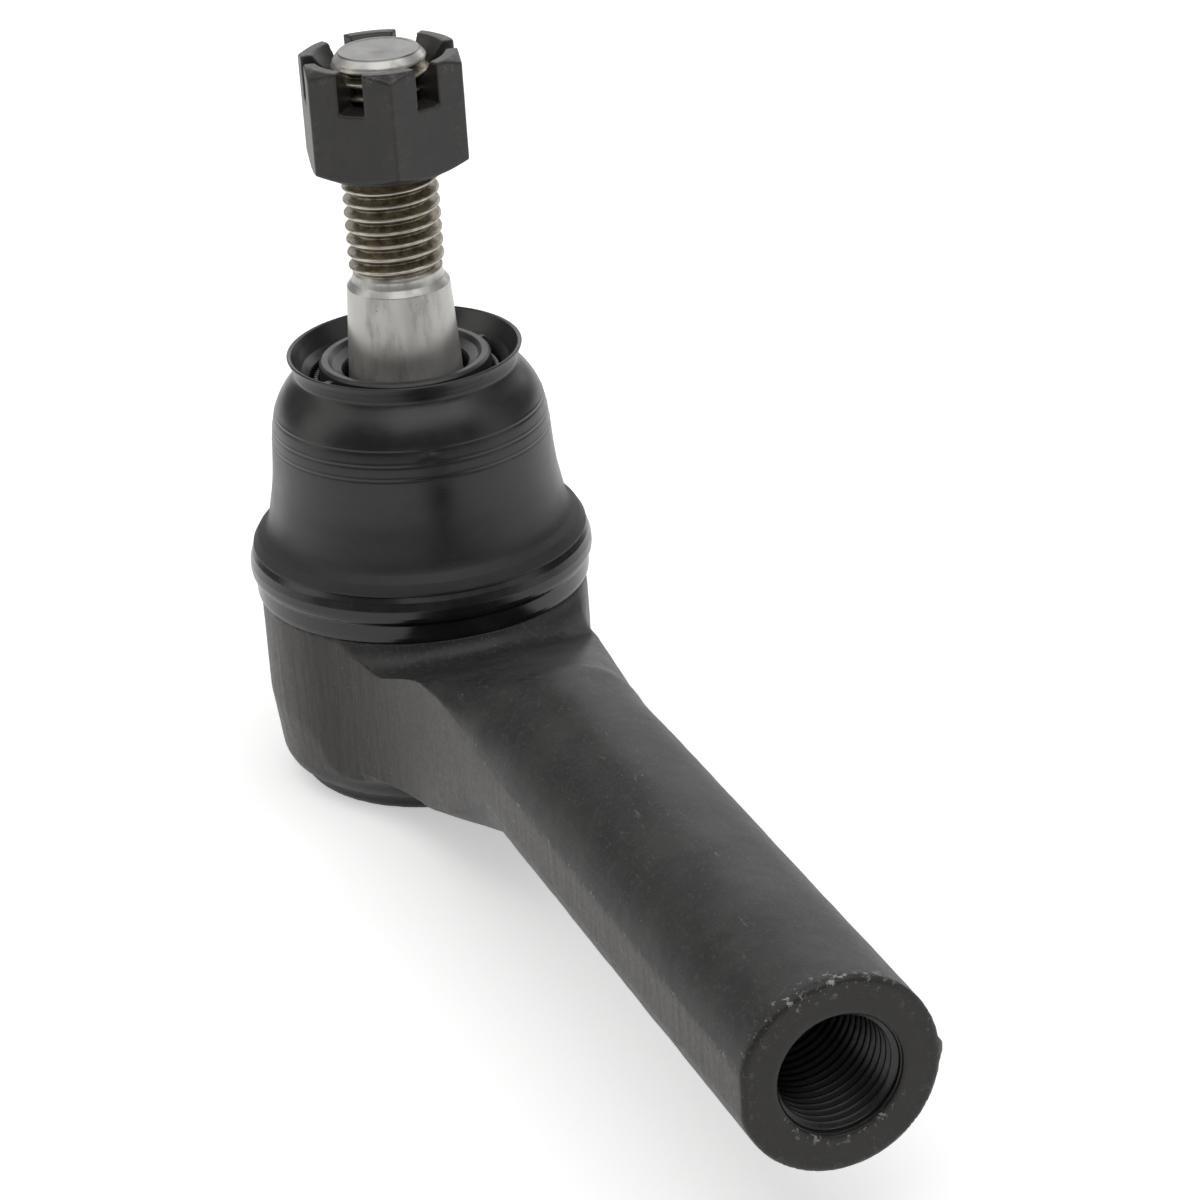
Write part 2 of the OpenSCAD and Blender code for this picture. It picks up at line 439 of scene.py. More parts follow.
def forging_material():
    """Dark phosphated forging, with sheared sides, scuffs and small bare chips."""
    p = Paint("forged_phosphate")
    broad = p.noise(9, 4)
    grain = p.noise(0.7, 5, 0.65)
    fine = p.noise(0.22, 3, 0.6)
    skin = p.mix(p.step(broad, 0.35, 0.68), (0.016, 0.0157, 0.0156), (0.031, 0.0305, 0.0295))
    skin = p.mix(p.step(grain, 0.50, 0.74), skin, (0.060, 0.058, 0.056))
    skin = p.mix(p.step(fine, 0.55, 0.75), skin, (0.055, 0.053, 0.051))

    # Sheared sides carry streaks that run straight up the forging
    streaks = p.noise(0.30, 4, 0.75, p.stretch(1, 1, 0.05))
    wide_streaks = p.noise(1.6, 3, 0.6, p.stretch(1, 1, 0.06))
    patches = p.noise(2.6, 4, 0.6)
    sheared = p.mix(p.step(streaks, 0.36, 0.68), (0.016, 0.0140, 0.0118), (0.044, 0.0375, 0.0305))
    sheared = p.mix(p.step(wide_streaks, 0.5, 0.7), sheared, (0.033, 0.029, 0.0245))
    edge = p.math("ADD", p.mask("sheared"), p.between(patches, 0.3, 0.7, -0.22, 0.22))
    sheared_amount = p.step(edge, 0.35, 0.65)
    color = p.mix(p.math("MULTIPLY", sheared_amount, 0.85), skin, sheared)

    # Machined end and rim
    machined = p.mask("machined")
    color = p.mix(p.math("MULTIPLY", machined, 0.8), color, (0.0205, 0.0185, 0.016))

    # Chips along edges, and stray flecks and scratches
    chips = p.step(p.noise(1.1, 5, 0.72), 0.56, 0.62)
    chips = p.math("MULTIPLY", chips, p.mask("worn"))
    flecks = p.step(p.noise(0.5, 4, 0.65, p.vector("ADD", p.place, (31, 7, 3))), 0.67, 0.73)
    fleck_zone = p.step(p.noise(11, 2), 0.46, 0.60)
    scratch_place = p.node("ShaderNodeMapping", {"Vector": p.place, "Rotation": (0.3, 0.2, 0.9),
                                                 "Scale": (0.16, 1, 0.8)}).outputs[0]
    scratches = p.step(p.noise(0.6, 3, 0.5, scratch_place, 0.8), 0.66, 0.74)
    scratches = p.math("MULTIPLY", scratches, fleck_zone)
    bare = p.math("MAXIMUM", chips, p.math("MULTIPLY", flecks, fleck_zone))
    color = p.mix(p.math("MULTIPLY", scratches, 0.55), color, (0.16, 0.155, 0.15))
    color = p.mix(bare, color, (0.36, 0.355, 0.34))

    rough = p.between(grain, 0.3, 0.7, 0.42, 0.56)
    rough = p.math("ADD", rough, p.math("MULTIPLY", sheared_amount, -0.04))
    p.bump(broad, 0.10, 0.5)
    p.bump(grain, 0.035, 0.75)
    p.bump(fine, 0.012, 0.6)
    p.bump(p.math("MULTIPLY", streaks, sheared_amount), 0.04, 0.6)
    p.bump(chips, 0.06, 0.6)
    return p.done(color, rough, specular=0.42)


def bore_material():
    """Dark, slightly oily steel for the thread in the shank."""
    p = Paint("threaded_bore")
    grain = p.noise(0.5, 4, 0.6)
    color = p.mix(grain, (0.006, 0.0058, 0.0055), (0.018, 0.0172, 0.016))
    p.bump(grain, 0.02, 0.5)
    return p.done(color, p.between(grain, 0.3, 0.7, 0.26, 0.4))


def stud_material():
    """Bright ground steel, dark oily thread roots, bright thread crests that carry a painted highlight, and a
    turned end.
    """
    p = Paint("stud_steel")
    height = p.z
    thread = p.step(height, TAPER_TOP + 1.9, TAPER_TOP + 2.9)
    thread = p.math("MULTIPLY", thread, p.step(height, STUD_TOP - 1.3, STUD_TOP - 1.8))
    top = p.step(height, STUD_TOP - 0.3, STUD_TOP - 0.12)

    # Ground surface: fine rings round the stud, and long soft stains
    rings = p.noise(0.16, 3, 0.6, p.stretch(0.02, 0.02, 1))
    stains = p.noise(3.4, 5, 0.62, p.stretch(1, 1, 0.32))
    specks = p.step(p.noise(0.55, 3, 0.6), 0.66, 0.74)
    ground = p.mix(p.step(stains, 0.46, 0.72), (0.55, 0.54, 0.515), (0.36, 0.345, 0.315))
    ground = p.mix(p.math("MULTIPLY", specks, p.step(stains, 0.42, 0.6)), ground, (0.16, 0.15, 0.135))

    # Thread: dark roots, brown flanks, and bright crests that are bare metal with a painted highlight
    dirt = p.noise(1.3, 4, 0.6)
    root_color = p.mix(p.step(dirt, 0.3, 0.7), (0.10, 0.086, 0.066), (0.30, 0.26, 0.195))
    crest_start = p.between(dirt, 0.3, 0.7, 6.5, 6.85)
    crest = p.math("SUBTRACT", p.radius, crest_start)
    thread_color = p.mix(p.step(crest, 0, 0.35), root_color, (0.50, 0.475, 0.42))
    color = p.mix(thread, ground, thread_color)

    # The turned end face
    turning = p.node("ShaderNodeTexWave", {"Vector": p.place, "Scale": 1.35, "Distortion": 0.4,
                                           "Detail": 2.0}, wave_type="RINGS",
                     rings_direction="Z").outputs["Fac"]
    marks = p.step(p.noise(1.0, 4, 0.65), 0.6, 0.72)
    face = p.mix(turning, (0.16, 0.158, 0.152), (0.27, 0.267, 0.258))
    face = p.mix(p.math("MULTIPLY", marks, 0.6), face, (0.12, 0.115, 0.105))
    color = p.mix(top, color, face)

    rough = p.between(stains, 0.35, 0.7, 0.30, 0.44)
    metal = p.math("ADD", 0.62, p.math("MULTIPLY", p.math("MAXIMUM", thread, top), 0.3))
    p.bump(rings, 0.006, 0.6)
    p.bump(p.math("MULTIPLY", turning, top), 0.02, 0.5)
    p.bump(p.math("MULTIPLY", dirt, thread), 0.05, 0.5)
    return p.done(color, rough, metallic=metal)


def nut_material():
    """Black phosphate, a little oily, paler on the towers' tops and hex corners: bare wear with a painted
    highlight.
    """
    p = Paint("nut_phosphate")
    broad = p.noise(4, 4)
    grain = p.noise(0.35, 4, 0.65)
    color = p.mix(p.step(broad, 0.35, 0.65), (0.0150, 0.0132, 0.0122), (0.024, 0.0212, 0.0196))
    # Paler tone on the towers' tops and, less, the hex corners: partly bare wear, partly a painted highlight
    worn = p.math("MULTIPLY", p.mask("edge"), p.step(p.noise(1.4, 4, 0.7), 0.5, 0.72))
    color = p.mix(p.math("MULTIPLY", worn, 0.6), color, (0.17, 0.163, 0.15))
    p.bump(grain, 0.018, 0.6)
    p.bump(broad, 0.04, 0.4)
    return p.done(color, p.between(grain, 0.3, 0.7, 0.36, 0.5), specular=0.55)


def rubber_material():
    """Moulded rubber with a soft gloss, dust and a few scuffs."""
    p = Paint("boot_rubber")
    bloom = p.noise(7, 4, 0.6)
    grain = p.noise(0.3, 3, 0.6)
    color = p.mix(p.step(bloom, 0.4, 0.72), (0.0125, 0.0122, 0.0122), (0.022, 0.0215, 0.021))
    dust_place = p.vector("ADD", p.place, (5, 3, 9))
    dust = p.step(p.noise(0.45, 3, 0.6, dust_place), 0.70, 0.78)
    scuff = p.step(p.noise(1.2, 4, 0.7, p.stretch(0.35, 0.35, 1)), 0.63, 0.75)
    low = p.step(p.z, 30, 24)
    color = p.mix(p.math("MULTIPLY", dust, 0.35), color, (0.10, 0.10, 0.095))
    color = p.mix(p.math("MULTIPLY", p.math("MULTIPLY", scuff, low), 0.22), color, (0.12, 0.118, 0.112))
    p.bump(bloom, 0.10, 0.5)
    p.bump(grain, 0.010, 0.5)
    rough = p.between(bloom, 0.3, 0.7, 0.27, 0.40)
    rough = p.math("ADD", rough, p.math("MULTIPLY", p.step(p.z, 26, 21), 0.25))
    return p.done(color, rough)


def coated_material(name, dark, light, low_rough, high_rough, relief=0.012, metallic=0.0):
    """A plain dark finish with mottling, fine grain and a few pale specks."""
    p = Paint(name)
    broad = p.noise(5, 4, 0.6)
    grain = p.noise(0.28, 4, 0.6)
    color = p.mix(p.step(broad, 0.35, 0.68), dark, light)
    specks = p.step(p.noise(0.5, 3, 0.6, p.vector("ADD", p.place, (17, 2, 5))), 0.72, 0.80)
    color = p.mix(p.math("MULTIPLY", specks, 0.4), color, tuple(min(1, 3 * c + 0.05) for c in light))
    p.bump(broad, 0.05, 0.4)
    p.bump(grain, relief, 0.6)
    return p.done(color, p.between(broad, 0.3, 0.7, low_rough, high_rough), metallic=metallic)


# -------------------------------------------------------------------- housing

# The neck: a block from NECK_FRONT that has turned into the round shank at NECK_END
NECK_END = 60.0
NECK_BACK = 10.0
NECK_FRONT = BARREL_R
NECK_LOW = RIM_Z + 8.2
NECK_TOP = 7.4
NECK_HALF = 18.0

# The bend at NECK_END: rounds of smoothing, the distance where they are full and how far they reach
BEND_ROUNDS = 90
BEND_FULL = 5.0
BEND_REACH = 14.0

# The line of flash: height at the barrel, half its thickness, how far it stands out, its start in x and y
FLASH_Z = -2.0
FLASH_HALF = 0.5
FLASH_OUT = 0.55
FLASH_X = 15.0
FLASH_Y = 6.0

# The sheared left side: the hollow curve's radius, the cut's depth at the barrel and how much deeper it ends
TRIM_BEND_R = 45.0
TRIM_DEPTH = 0.05
TRIM_DEEPER = 0.42

SHOULDER_Z = RING_LOW[2] - 0.1
END_CHAMFER = 0.35

# The hole in the shank: its wall in the forging, and the M16 x 1.5 thread in the sleeve set into it
HOLE_R = 8.15
HOLE_END = 101.0
MOUTH_CHAMFER = 0.15
BORE_MAJOR = 8.0
BORE_PITCH = 1.5
BORE_THREAD = 46.0
BORE_DEPTH = 50.0
BORE_SEGMENTS = 112

BARREL = [(0, RIM_Z), (19.8, RIM_Z), (20.5, RIM_Z + 1), (20.6, RIM_Z + 2.2), (22.5, RIM_Z + 3.4),
          (23.1, RIM_Z + 4.6), (23.4, RIM_Z + 7.5), (BARREL_R, -4), (BARREL_R, SHOULDER_Z),
          (19.4, SHOULDER_Z), (19.4, 16.5), (0, 16.5)]
CAVITY = [(0, RIM_Z - 3), (16, RIM_Z - 3), (16, COVER_LOW[2]), (17.5, COVER_LOW[2]),
          (17.5, COVER_HIGH[2]), (15.5, COVER_HIGH[2]), (15.5, 3.5), (11.4, 8.5), (15.4, 16.5),
          (15.4, 20), (0, 20)]


def neck_distance(x, y, z):
    """A block at the barrel that turns round as it rises into the shank."""
    neck = np.maximum(NECK_BACK - x, x - NECK_END)
    for angle in np.linspace(0, TAU, 96, endpoint=False):
        c, s = math.cos(angle), math.sin(angle)
        block = NECK_HALF * abs(c) + (NECK_TOP if s > 0 else NECK_LOW) * s
        disc = SHANK_R + SHANK_Z * s
        lean = (block - disc) / (NECK_END - NECK_FRONT)
        slope = (lean * (x - NECK_FRONT) + c * y + s * z - block) / math.sqrt(1 + lean ** 2)
        level = c * y + s * z - block
        neck = np.maximum(neck, np.minimum(slope, level) if lean < 0 else np.maximum(slope, level))
    return neck


def barrel_half_width(x):
    """Half the barrel's width at that x. Behind the centre it stays the full radius."""
    return np.sqrt(np.maximum(BARREL_R ** 2 - np.clip(x, 0, BARREL_R) ** 2, 0))


def forging_body(points):
    """Barrel, neck, shank and the line of flash, before any cut."""
    x, y, z = points.T
    r = np.hypot(x, y)
    off_axis = np.hypot(y, z - SHANK_Z)
    shank = np.maximum(off_axis - SHANK_R, NECK_END - 2 - x)
    body = smooth_join(shank, neck_distance(x, y, z), 1.5)
    body = smooth_join(body, outline_distance(r, z, BARREL), 6.0)
    along = np.clip((x - BARREL_R) / (NECK_END - BARREL_R), 0, 1)
    flash_z = FLASH_Z + (SHANK_Z - FLASH_Z) * along
    half = -smooth_join(-barrel_half_width(x), -(NECK_HALF + (SHANK_R - NECK_HALF) * along), 4.0)
    flash = np.maximum(np.abs(z - flash_z) - FLASH_HALF, y - half - FLASH_OUT)
    flash = np.maximum(flash, np.maximum(FLASH_X - x, FLASH_Y - y))
    return smooth_join(body, flash, 1.6)


def trim_plane(points):
    """The left side as the shearing die cut it: a hollow curve off the barrel, then straight."""
    x, y, _ = points.T
    straight = SHANK_R + 0.1
    curve_x = math.sqrt((BARREL_R + TRIM_BEND_R) ** 2 - (straight + TRIM_BEND_R) ** 2)
    gap = np.clip(curve_x - x, 0, TRIM_BEND_R)
    curve = straight + TRIM_BEND_R - np.sqrt(TRIM_BEND_R ** 2 - gap ** 2)
    half = np.where(x < curve_x * BARREL_R / (BARREL_R + TRIM_BEND_R), barrel_half_width(x), curve)
    depth = TRIM_DEPTH + TRIM_DEEPER * smoothstep(x, 35, 62)
    return -y - half + depth


def housing_distance(points):
    """The whole forging: body, sheared side, chamfered end, blind hole and socket."""
    x, y, z = points.T
    r = np.hypot(x, y)
    off_axis = np.hypot(y, z - SHANK_Z)
    body = np.maximum(forging_body(points), trim_plane(points))
    end = np.maximum(x - SHANK_END, (off_axis + x - SHANK_R - SHANK_END + END_CHAMFER) / math.sqrt(2))
    body = np.maximum(body, end)
    hole = np.maximum(off_axis - HOLE_R, HOLE_END - x)
    mouth = (off_axis - HOLE_R - MOUTH_CHAMFER - (x - SHANK_END)) / math.sqrt(2)
    hole = np.minimum(hole, np.maximum(mouth, SHANK_END - 3 - x))
    return np.maximum(body, -np.minimum(hole, outline_distance(r, z, CAVITY)))


def bore_sleeve():
    """The threaded wall of the blind hole, set into the housing."""
    mouth = SHANK_END - 0.62
    thread_end = SHANK_END - BORE_THREAD
    floor = SHANK_END - BORE_DEPTH
    outer = HOLE_R + 0.4
    inside = thread_tube(thread_end, mouth, BORE_PITCH, BORE_MINOR, BORE_MAJOR,
                         BORE_MINOR, BORE_MAJOR, 2.5, 1.1, BORE_SEGMENTS)
    tip = lathe([(0, floor - 3.6), (BORE_MINOR, floor), (BORE_MINOR, thread_end)], BORE_SEGMENTS)
    shell = lathe([(BORE_MAJOR, mouth), (outer, mouth), (outer, floor - 5), (0, floor - 5)], BORE_SEGMENTS)
    return [along_x(shell, SHANK_Z) for shell in (inside, tip, shell)]


def sheared_mask(points, normals):
    """Upright sides that a die has cut: the neck's left, the barrel's wall and, less, the neck's right."""
    x, y, _ = points.T
    level = np.abs(normals[:, 2])
    cut_gap = forging_body(points) - trim_plane(points)
    left = falling(cut_gap, -0.05, 0.25) * (y < 0) * falling(level, 0.2, 0.4)
    wall = falling(level, 0.15, 0.3) * smoothstep(np.hypot(x, y), 22.6, 23.2) * (x < 21)
    right = smoothstep(y, 0, 3) * falling(level, 0.2, 0.35) * (x < NECK_END)
    return np.maximum(np.maximum(left, wall * falling(y, -2, 4)), 0.8 * right)


def worn_mask(points, sheared):
    """Where the finish is chipped: the edges of the shank's end, the hole's mouth and the sheared sides."""
    x, y, z = points.T
    off_axis = np.hypot(y, z - SHANK_Z)
    corner = np.hypot(off_axis - SHANK_R + 0.2, x - SHANK_END + 0.2)
    top_side = smoothstep(z, SHANK_Z + 2, SHANK_Z + 9)
    patch = np.hypot(y + 4, z - SHANK_Z - SHANK_R + 1)
    worn = falling(corner, 0.5, 2.6) * (0.2 + 0.35 * top_side + 0.9 * falling(patch, 3, 8))
    mouth = falling(np.abs(off_axis - HOLE_R - 0.4), 0.3, 0.9) * smoothstep(x, SHANK_END - 0.8, SHANK_END)
    worn = np.maximum(worn, mouth * falling(z, SHANK_Z - 7, SHANK_Z - 2))
    sheared_edge = 0.6 * smoothstep(sheared, 0.05, 0.3) * falling(sheared, 0.5, 0.9) * (x > 30)
    return np.maximum(worn, sheared_edge)


def build_housing(material, bore):
    """The forging, drawn onto its exact shape and then given its bend, lumps, streaks and chips."""
    item = remeshed("housing", "housing_forging", 0.5)
    write_points(item, project(read_points(item), housing_distance))
    soften(item, 2)
    along = read_points(item)[:, 0]
    bend = (smoothstep(along, NECK_END - BEND_REACH, NECK_END - BEND_FULL)
            * falling(along, NECK_END + BEND_FULL, NECK_END + BEND_REACH))
    soften(item, BEND_ROUNDS, bend)

    points, normals = read_points(item), read_normals(item)
    x, y, z = points.T
    r = np.hypot(x, y)
    inside = (np.hypot(y, z - SHANK_Z) < HOLE_R + 0.7) & (x > HOLE_END - 2)
    inside |= (r < 19.6) & (z > RIM_Z + 0.3) & (x < 20)
    machined = smoothstep(x, SHANK_END - 0.45, SHANK_END - 0.15)
    machined = np.maximum(machined, falling(z, RIM_Z + 0.8, RIM_Z + 1.2) * (r < 21))
    sheared = sheared_mask(points, normals) * (1 - machined)
    worn = worn_mask(points, sheared)

    rough = (1 - machined) * ~inside
    lumps = 0.07 * noise_at(points, 7, 1) + 0.035 * noise_at(points, 2.2, 2)
    streaks = 0.05 * noise_at(points * (1, 1, 0.06), 0.9, 3) * sheared
    points = points + normals * ((lumps * (1 - 0.6 * sheared) + streaks) * rough)[:, None]
    chips = smoothstep(noise_at(points, 1.5, 4) * worn, 0.12, 0.3) * 0.12
    points = points - normals * (chips * rough)[:, None]
    write_points(item, points)
    for name, values in (("sheared", sheared), ("machined", machined), ("worn", worn)):
        set_mask(item, name, values)
    finish_piece(item, "housing", "forged_steel", material, "housing")

    sleeve = new_object("shank_thread", bore_sleeve())
    finish_piece(sleeve, "housing", "forged_steel", bore)


def build_cover(material):
    """The plate crimped into the barrel's foot, with a raised middle."""
    low, high, r = COVER_LOW[2], COVER_HIGH[2], COVER_HIGH[0]
    outline = [(0, low + 0.7), (6.2, low + 0.7, 0.5), (7.2, low, 0.5), (r, low, 0.2), (r, high, 0.3),
               (7.4, high, 0.5), (6.6, high + 0.25, 0.4), (0, high + 0.25)]
    item = new_object("cover", [lathe(rounded(outline))])
    level_flats(item)
    finish_piece(item, "housing", "cover_steel", material, "cover_plate")


# ----------------------------------------------------------------------- stud

STUD_NECK_R = 6.3

# The taper, from its foot up to TAPER_TOP
TAPER_FOOT = 31.0
TAPER_FOOT_R = 9.16
TAPER_TOP_R = 7.5

# The M14 x 2 thread, and the radii it fades from and to
STUD_R = 7.0
STUD_MINOR = 5.78
STUD_PITCH = 2.0
THREAD_START = TAPER_TOP + 1.7
THREAD_START_R = 6.5
THREAD_END_R = 6.7
NUT_THREAD_GAP = 0.14


def build_stud(material):
    """Ball, neck and taper in one turned shell, the thread, the chamfered end and the cross hole."""
    ball_r = STUD_HIGH[0]
    flat_z = STUD_LOW[2]
    start = math.asin(flat_z / ball_r)
    stop = math.acos(STUD_NECK_R / ball_r)
    ball = [(ball_r * math.cos(a), ball_r * math.sin(a)) for a in np.linspace(start, stop, 40)]
    body = [(0, flat_z), *ball, (STUD_NECK_R, 13, 1.5), (STUD_NECK_R, 20, 3), (7.4, 23, 2),
            (TAPER_FOOT_R, TAPER_FOOT - 2, 1), (TAPER_FOOT_R, TAPER_FOOT, 0.3),
            (TAPER_TOP_R, TAPER_TOP, 0.35), (TAPER_TOP_R - 0.75, TAPER_TOP + 0.9, 0.5),
            (THREAD_START_R, THREAD_START)]
    chamfer_z = STUD_TOP - 1.15
    thread = thread_tube(THREAD_START, chamfer_z, STUD_PITCH, STUD_MINOR, STUD_R,
                         THREAD_START_R, THREAD_END_R, 1.8, 0.7)
    cap = [(THREAD_END_R, chamfer_z), (6.55, chamfer_z + 0.2), (5.75, STUD_TOP, 0.2), (5.2, STUD_TOP, 0.2),
           (5.1, STUD_TOP - 0.05), (0, STUD_TOP - 0.05)]
    item = new_object("stud", [lathe(rounded(body)), thread, lathe(rounded(cap))])

    hole = MOUNTS["cotter_hole"]
    hole_r = hole["dims"]["r_mm"]
    reach = STUD_R + 2
    drill = new_object("drill", [lathe([(0, -reach), (hole_r, -reach), (hole_r, reach), (0, reach)], 32)])
    aim = Vector(hole["axis"]).to_track_quat("Z", "Y").to_matrix().to_4x4()
    drill.matrix_world = Matrix.Translation(Vector(hole["pos_m"])) @ aim
    cut = item.modifiers.new("cotter_hole", "BOOLEAN")
    cut.object = drill
    cut.solver = "EXACT"
    bpy.context.view_layer.update()
    apply_modifiers(item)
    bpy.data.objects.remove(drill)
    level_flats(item)
    finish_piece(item, "stud", "stud_steel", material, "ball_stud")


def build_nut(material):
    """The CAD nut with softened edges and a real thread that follows the stud's."""
    item = remeshed("castle_nut", "nut", 0.22)
    soften(item, 3)
    points, normals = read_points(item), read_normals(item)
    x, y, z = points.T
    r = np.hypot(x, y)
    bore = (r < STUD_R + 0.45) & (normals[:, 0] * x + normals[:, 1] * y < -0.3 * r)
    phase = np.mod((z - THREAD_START) / STUD_PITCH - np.arctan2(y, x) / TAU, 1)
    form = np.interp(phase, FORM_AT, FORM_HEIGHT)
    thread_r = STUD_MINOR + (STUD_R - STUD_MINOR) * form + NUT_THREAD_GAP
    ends = np.minimum(z - NUT_LOW[2], NUT_HIGH[2] - z)
    thread_r = np.maximum(thread_r, STUD_R + 0.2 - np.maximum(ends - 0.2, 0))
    scale = np.where(bore, thread_r / np.maximum(r, 1e-6), 1)
    points[:, 0] *= scale
    points[:, 1] *= scale
    write_points(item, points)

    normals = read_normals(item)
    across = (NUT_HIGH[0] - NUT_LOW[0]) / 2
    lumps = 0.02 * noise_at(points, 2.5, 7) * ~bore
    write_points(item, points + normals * lumps[:, None])
    # The edge mask marks the towers' tops and hex corners, which the nut's material paints paler as wear and
    # as a painted highlight
    corner = smoothstep(r, across - 1.4, across - 0.3)
    top = smoothstep(z, NUT_HIGH[2] - 2.4, NUT_HIGH[2] - 1.2) * smoothstep(r, 10, 11)
    set_mask(item, "edge", np.maximum(corner * 0.35, top))
    finish_piece(item, "nut", "nut_phosphate", material, "castle_nut")


# ----------------------------------------------------------------------- boot

# Where the boot's two meshes meet
SEAM_Z = 32.0
SEAM_IN = 19.5
BLEND_START = 21.0

# The boot's wall from the ring up to the neck under its lip, and its mould lines
BOOT_WALL = [(22.1, 22.4), (21.55, 25.2), (21.05, 28), (20.78, 30.5), (20.6, 33), (20.45, 34.9), (20.2, 37),
             (19.75, 39.1), (19.25, 40.4), (18.6, 41.6), (17.9, 42.6), (17.15, 43.5), (16.5, 44.3)]
MOULD_LINES = (34.9, 36.95, 39.1)

# A small dent in the wall: its direction, height, distance from the axis, depth and width
DENT_ANGLE = -0.18
DENT_Z = 37.9
DENT_R = 20
DENT_DEPTH = 0.35
DENT_WIDTH = 0.9


def boot_wall(low, high):
    """The wall's outside between two heights, as closely spaced points."""
    radii = np.array([point[0] for point in BOOT_WALL])
    heights = np.array([point[1] for point in BOOT_WALL])
    slopes = np.gradient(radii, heights)
    z = np.linspace(low, high, max(2, round((high - low) / 0.11)))
    spot = np.clip(np.searchsorted(heights, z, side="right") - 1, 0, len(heights) - 2)
    gap = heights[spot + 1] - heights[spot]
    t = (z - heights[spot]) / gap
    r = ((2 * t ** 3 - 3 * t ** 2 + 1) * radii[spot] + (t ** 3 - 2 * t ** 2 + t) * gap * slopes[spot]
         + (3 * t ** 2 - 2 * t ** 3) * radii[spot + 1] + (t ** 3 - t ** 2) * gap * slopes[spot + 1])
    for line in MOULD_LINES:
        r += 0.05 * np.exp(-((z - line) / 0.16) ** 2) - 0.06 * np.exp(-((z - line + 0.3) / 0.2) ** 2)
    return list(zip(r, z))


def press_dent(item):
    """Presses the small dent into the boot's wall."""
    points = read_points(item)
    x, y, z = points.T
    beside = np.hypot(x - DENT_R * math.cos(DENT_ANGLE), y - DENT_R * math.sin(DENT_ANGLE))
    inward = DENT_DEPTH * np.exp(-(np.hypot(beside, z - DENT_Z) / DENT_WIDTH) ** 2)
    radius = np.maximum(np.hypot(x, y), 1e-6)
    points[:, 0] -= inward * x / radius
    points[:, 1] -= inward * y / radius
    write_points(item, points)


def build_boot(material):
    """The boot in two pieces that meet at SEAM_Z."""
    lip_z = BOOT_HIGH[2]
    lip_r = 17.2
    foot = BOOT_LOW[2]
    low = [(19.5, 16.8, 0.2), (19.5, foot, 0.2), (22.2, foot, 0.2), (22.2, 19.9, 0.2), (23.2, 19.8, 0.3),
           (24.15, 18.95, 0.1), (24.75, 18.35, 0.12), (24.7, 18.75, 0.15), (23.9, 20.1, 0.8),
           (22.75, 20.9, 0.9), (22.3, 21.6), *boot_wall(22.4, SEAM_Z), (SEAM_IN, SEAM_Z),
           (19.6, 26, 1), (20.2, 21, 1.5), (20.2, 17.2, 0.3), (19.5, 16.8)]
    high = [(SEAM_IN, SEAM_Z), *boot_wall(SEAM_Z, 44.1),
            (16.35, 44.6, 0.3), (16.35, 45.1, 0.5), (16.7, 46.1, 0.8), (17.1, 47),
            (lip_r, lip_z - 0.15, 0.12), (lip_r - 0.2, lip_z, 0.1), (lip_r - 0.6, lip_z - 0.15, 0.3),
            (16.0, 46.3, 1), (15.2, 45, 0.8), (14.1, 43.9, 0.4), (13.95, 42.4, 0.3), (12.9, 42.2, 0.2),
            (12.9, 40.4, 0.3), (15.3, 40.2, 0.5), (16.9, 39.2), (18.7, 36.9), (19.3, 34), (SEAM_IN, SEAM_Z)]
    for name, outline, bodies, start, end in (
            ("boot_lower", low, ("housing", "boot"), BLEND_START, SEAM_Z),
            ("boot_upper", high, ("boot", "boot_top"), SEAM_Z, BUSH_LOW[2] + 2)):
        item = new_object(name, [lathe(rounded(outline, 3), 160)])
        if name == "boot_upper":
            press_dent(item)
        item.data.set_sharp_from_angle(angle=math.radians(50))
        finish_piece(item, None, "boot_rubber", material)
        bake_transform(item)
        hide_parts("dust_boot")


def build_ring(material):
    """The pressed ring that holds the boot's foot: a skirt, a step out and a shoulder turned in."""
    r, low, high = RING_HIGH[0], RING_LOW[2], RING_HIGH[2]
    skirt = r - 0.65
    inner = 22.35
    outline = [(inner, low, 0.1), (skirt - 0.1, low, 0.3), (skirt, low + 0.8, 0.3), (skirt, 13.9, 0.3),
               (r - 0.1, 14.6, 0.6), (r, 15.2, 0.4), (r - 0.05, 16.3, 0.8), (25.0, 17.5, 0.8),
               (24.2, 18.75, 0.6), (23.2, 19.6, 0.3), (inner, high, 0.1), (inner, high - 0.3)]
    outline.append(outline[0][:2])
    item = new_object("boot_ring_band", [lathe(rounded(outline, 5), 160)])
    level_flats(item)
    finish_piece(item, "housing", "ring_black", material, "boot_ring")


BUSH_HOLE_R = 9.15
TAB_SIZE = (2.2, 1.6, 1.4)
TAB_DEGREES = (-75, 105)

# The garter spring's coil and wire, its number of coils, and the mesh's steps per coil and sides
COIL_R = 0.44
WIRE_R = 0.13
COILS = 110
COIL_STEPS = 10
WIRE_SIDES = 6


def garter_coil(ring_r, coil_z):
    """A wire wound round a circle about Z."""
    up = Vector((0, 0, 1))
    count = COILS * COIL_STEPS
    points, faces = [], []
    for i in range(count):
        around = TAU * i / count
        twist = TAU * i / COIL_STEPS
        out = Vector((math.cos(around), math.sin(around), 0))
        spoke = out * math.cos(twist) + up * math.sin(twist)
        centre = out * ring_r + up * coil_z + spoke * COIL_R
        side = out.cross(up)
        ahead = ((i + 1) % count) * WIRE_SIDES
        for j in range(WIRE_SIDES):
            a = TAU * j / WIRE_SIDES
            k = (j + 1) % WIRE_SIDES
            points.append(tuple(centre + spoke * WIRE_R * math.cos(a) + side * WIRE_R * math.sin(a)))
            faces.append((i * WIRE_SIDES + j, i * WIRE_SIDES + k, ahead + k, ahead + j))
    return points, faces


